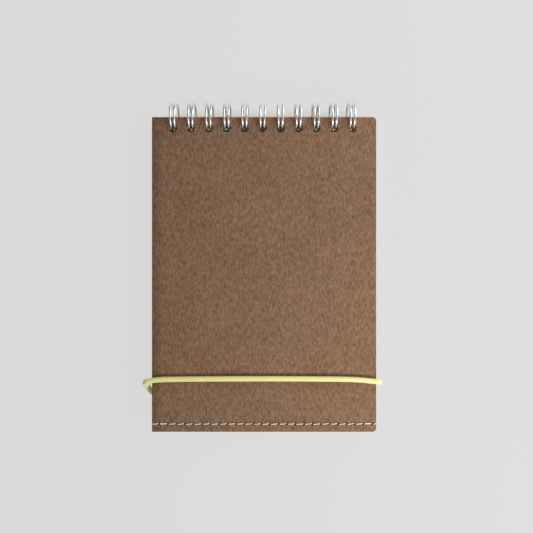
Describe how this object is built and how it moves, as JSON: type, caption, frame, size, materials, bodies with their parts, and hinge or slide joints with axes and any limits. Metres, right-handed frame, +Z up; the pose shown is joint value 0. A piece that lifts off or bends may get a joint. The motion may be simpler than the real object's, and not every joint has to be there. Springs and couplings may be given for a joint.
{
  "type": "pocket notebook",
  "caption": "Top-bound pocket notebook with a folded board cover, double-loop wire binding, paper sheets, a stitched seam and a sliding elastic cord closure.",
  "frame": {"origin": "the middle of the outline on the surface that the closed notebook lies on, cover up", "axes": "+Y points from the free end to the wire binding, along the cover's length; +X to the cover's right edge; +Z up, out of the front cover"},
  "size_m": [0.113, 0.1566, 0.0143],
  "materials": {
    "brown_board": "brown fibreboard with a fine fibrous cloth-like grain, matte",
    "paper": "uncoated cream paper",
    "binding_wire": "smooth bright nickel-plated steel wire",
    "stitching": "twisted cream cotton thread",
    "elastic_cord": "braided yellow cover over a rubber core",
    "crimp_metal": "pressed steel sleeve"
  },
  "bodies": {
    "root": {"back_cover": "brown_board", "wire_binding": "binding_wire"},
    "leaf_01": {"sheet_01": "paper"},
    "leaf_02": {"sheet_02": "paper"},
    "leaf_03": {"sheet_03": "paper"},
    "leaf_04": {"sheet_04": "paper"},
    "leaves_05_to_15": {"sheet_05": "paper", "sheet_06": "paper", "sheet_07": "paper", "sheet_08": "paper", "sheet_09": "paper", "sheet_10": "paper", "sheet_11": "paper", "sheet_12": "paper", "sheet_13": "paper", "sheet_14": "paper", "sheet_15": "paper"},
    "leaves_16_to_26": {"sheet_16": "paper", "sheet_17": "paper", "sheet_18": "paper", "sheet_19": "paper", "sheet_20": "paper", "sheet_21": "paper", "sheet_22": "paper", "sheet_23": "paper", "sheet_24": "paper", "sheet_25": "paper", "sheet_26": "paper"},
    "leaves_27_to_37": {"sheet_27": "paper", "sheet_28": "paper", "sheet_29": "paper", "sheet_30": "paper", "sheet_31": "paper", "sheet_32": "paper", "sheet_33": "paper", "sheet_34": "paper", "sheet_35": "paper", "sheet_36": "paper", "sheet_37": "paper"},
    "leaves_38_to_48": {"sheet_38": "paper", "sheet_39": "paper", "sheet_40": "paper", "sheet_41": "paper", "sheet_42": "paper", "sheet_43": "paper", "sheet_44": "paper", "sheet_45": "paper", "sheet_46": "paper", "sheet_47": "paper", "sheet_48": "paper"},
    "front_cover": {"front_cover": "brown_board", "needle_thread": "stitching", "bobbin_thread": "stitching"},
    "elastic": {"elastic_loop": "elastic_cord", "elastic_crimp": "crimp_metal"}
  },
  "joints": [
    {"name": "leaves_38_to_48_turn", "type": "hinge", "parent": "root", "child": "leaves_38_to_48", "pos_m": [0, 0.07118, 0.00715], "axis": [-1, 0, 0], "range_deg": [0, 180]},
    {"name": "leaves_27_to_37_turn", "type": "hinge", "parent": "leaves_38_to_48", "child": "leaves_27_to_37", "pos_m": [0, 0.07118, 0.00715], "axis": [-1, 0, 0], "range_deg": [0, 180]},
    {"name": "leaves_16_to_26_turn", "type": "hinge", "parent": "leaves_27_to_37", "child": "leaves_16_to_26", "pos_m": [0, 0.07118, 0.00715], "axis": [-1, 0, 0], "range_deg": [0, 180]},
    {"name": "leaves_05_to_15_turn", "type": "hinge", "parent": "leaves_16_to_26", "child": "leaves_05_to_15", "pos_m": [0, 0.07118, 0.00715], "axis": [-1, 0, 0], "range_deg": [0, 180]},
    {"name": "leaf_04_turn", "type": "hinge", "parent": "leaves_05_to_15", "child": "leaf_04", "pos_m": [0, 0.07118, 0.00715], "axis": [-1, 0, 0], "range_deg": [0, 180]},
    {"name": "leaf_03_turn", "type": "hinge", "parent": "leaf_04", "child": "leaf_03", "pos_m": [0, 0.07118, 0.00715], "axis": [-1, 0, 0], "range_deg": [0, 180]},
    {"name": "leaf_02_turn", "type": "hinge", "parent": "leaf_03", "child": "leaf_02", "pos_m": [0, 0.07118, 0.00715], "axis": [-1, 0, 0], "range_deg": [0, 180]},
    {"name": "leaf_01_turn", "type": "hinge", "parent": "leaf_02", "child": "leaf_01", "pos_m": [0, 0.07118, 0.00715], "axis": [-1, 0, 0], "range_deg": [0, 180]},
    {"name": "front_cover_turn", "type": "hinge", "parent": "leaf_01", "child": "front_cover", "pos_m": [0, 0.07118, 0.00715], "axis": [-1, 0, 0], "range_deg": [0, 180]},
    {"name": "elastic_slide", "type": "slide", "parent": "root", "child": "elastic", "axis": [0, -1, 0], "range_m": [-0.095, 0.036]}
  ]
}
